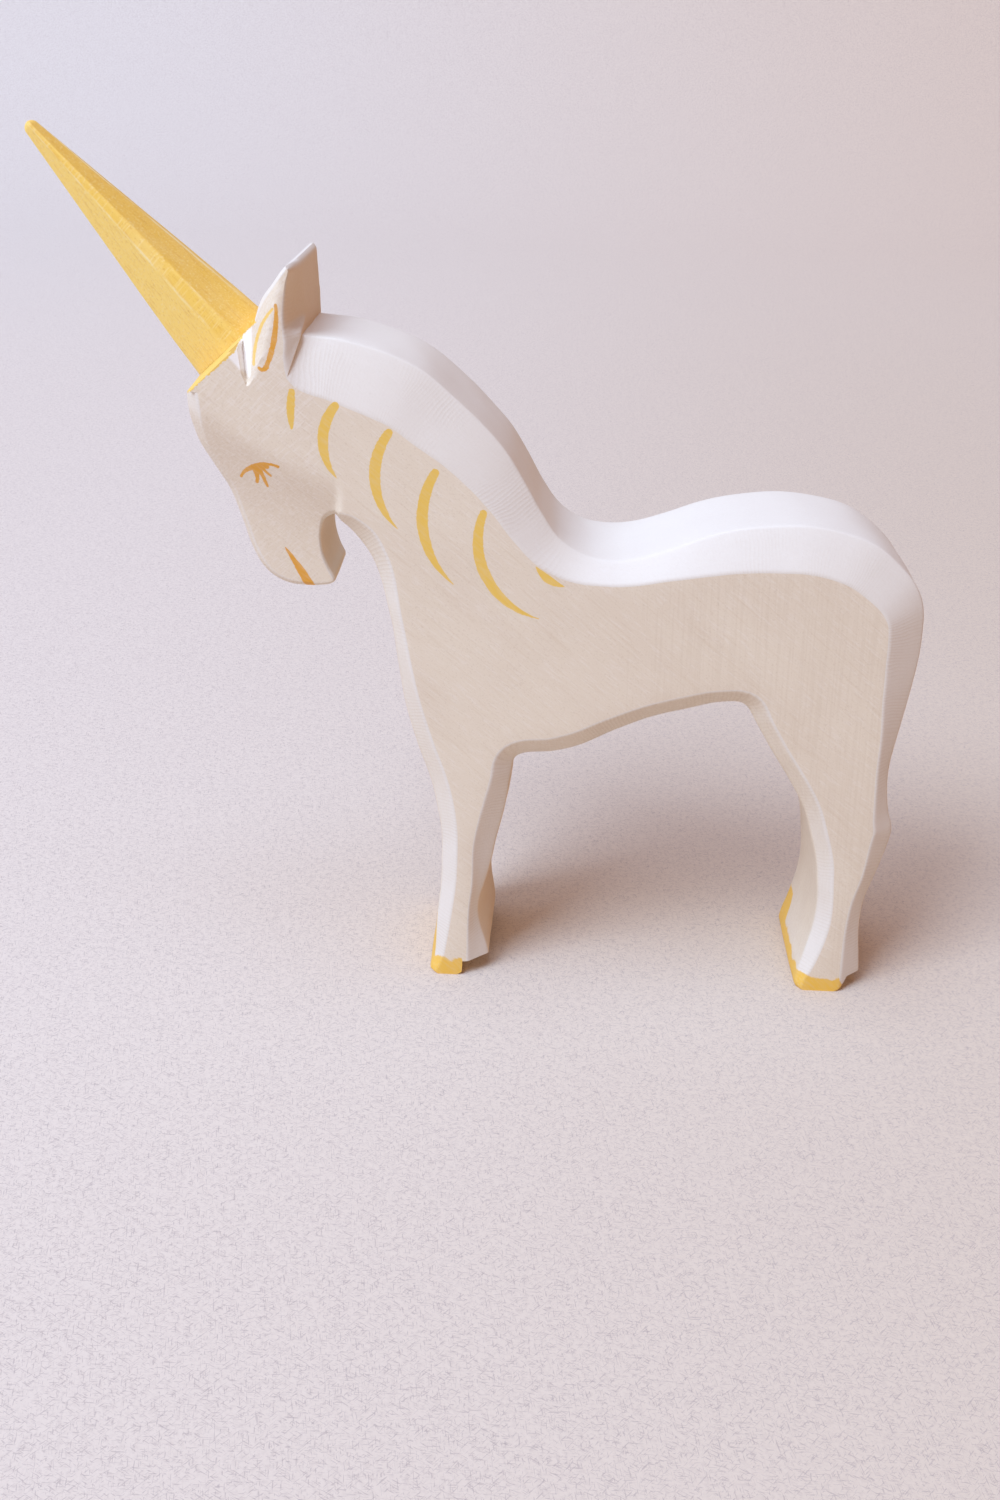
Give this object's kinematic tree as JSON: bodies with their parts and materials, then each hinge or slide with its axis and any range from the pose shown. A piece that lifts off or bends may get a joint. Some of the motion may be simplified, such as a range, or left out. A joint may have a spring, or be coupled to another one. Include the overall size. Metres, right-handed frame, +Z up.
{
  "type": "wooden toy unicorn",
  "caption": "Standing unicorn sawn from one thick board on edge, with knife-cut edges, hollowed cheeks, two hoofed legs and a straight carved horn held by a hidden dowel.",
  "frame": {"origin": "bottom centre of the bounding box, on the floor", "axes": "+Z up; the board lies in the XZ plane with the horn towards -X and the rump towards +X; the board's sides face -Y and +Y"},
  "size_m": [0.1382, 0.025, 0.1355],
  "materials": {
    "maple": "pale maple, sanded, bare, with painted yellow marks",
    "stained_horn": "maple stained yellow, sanded",
    "beech": "turned dowel, bare"
  },
  "bodies": {
    "root": {"body": "maple", "horn": "stained_horn", "horn_dowel": "beech"}
  },
  "joints": []
}
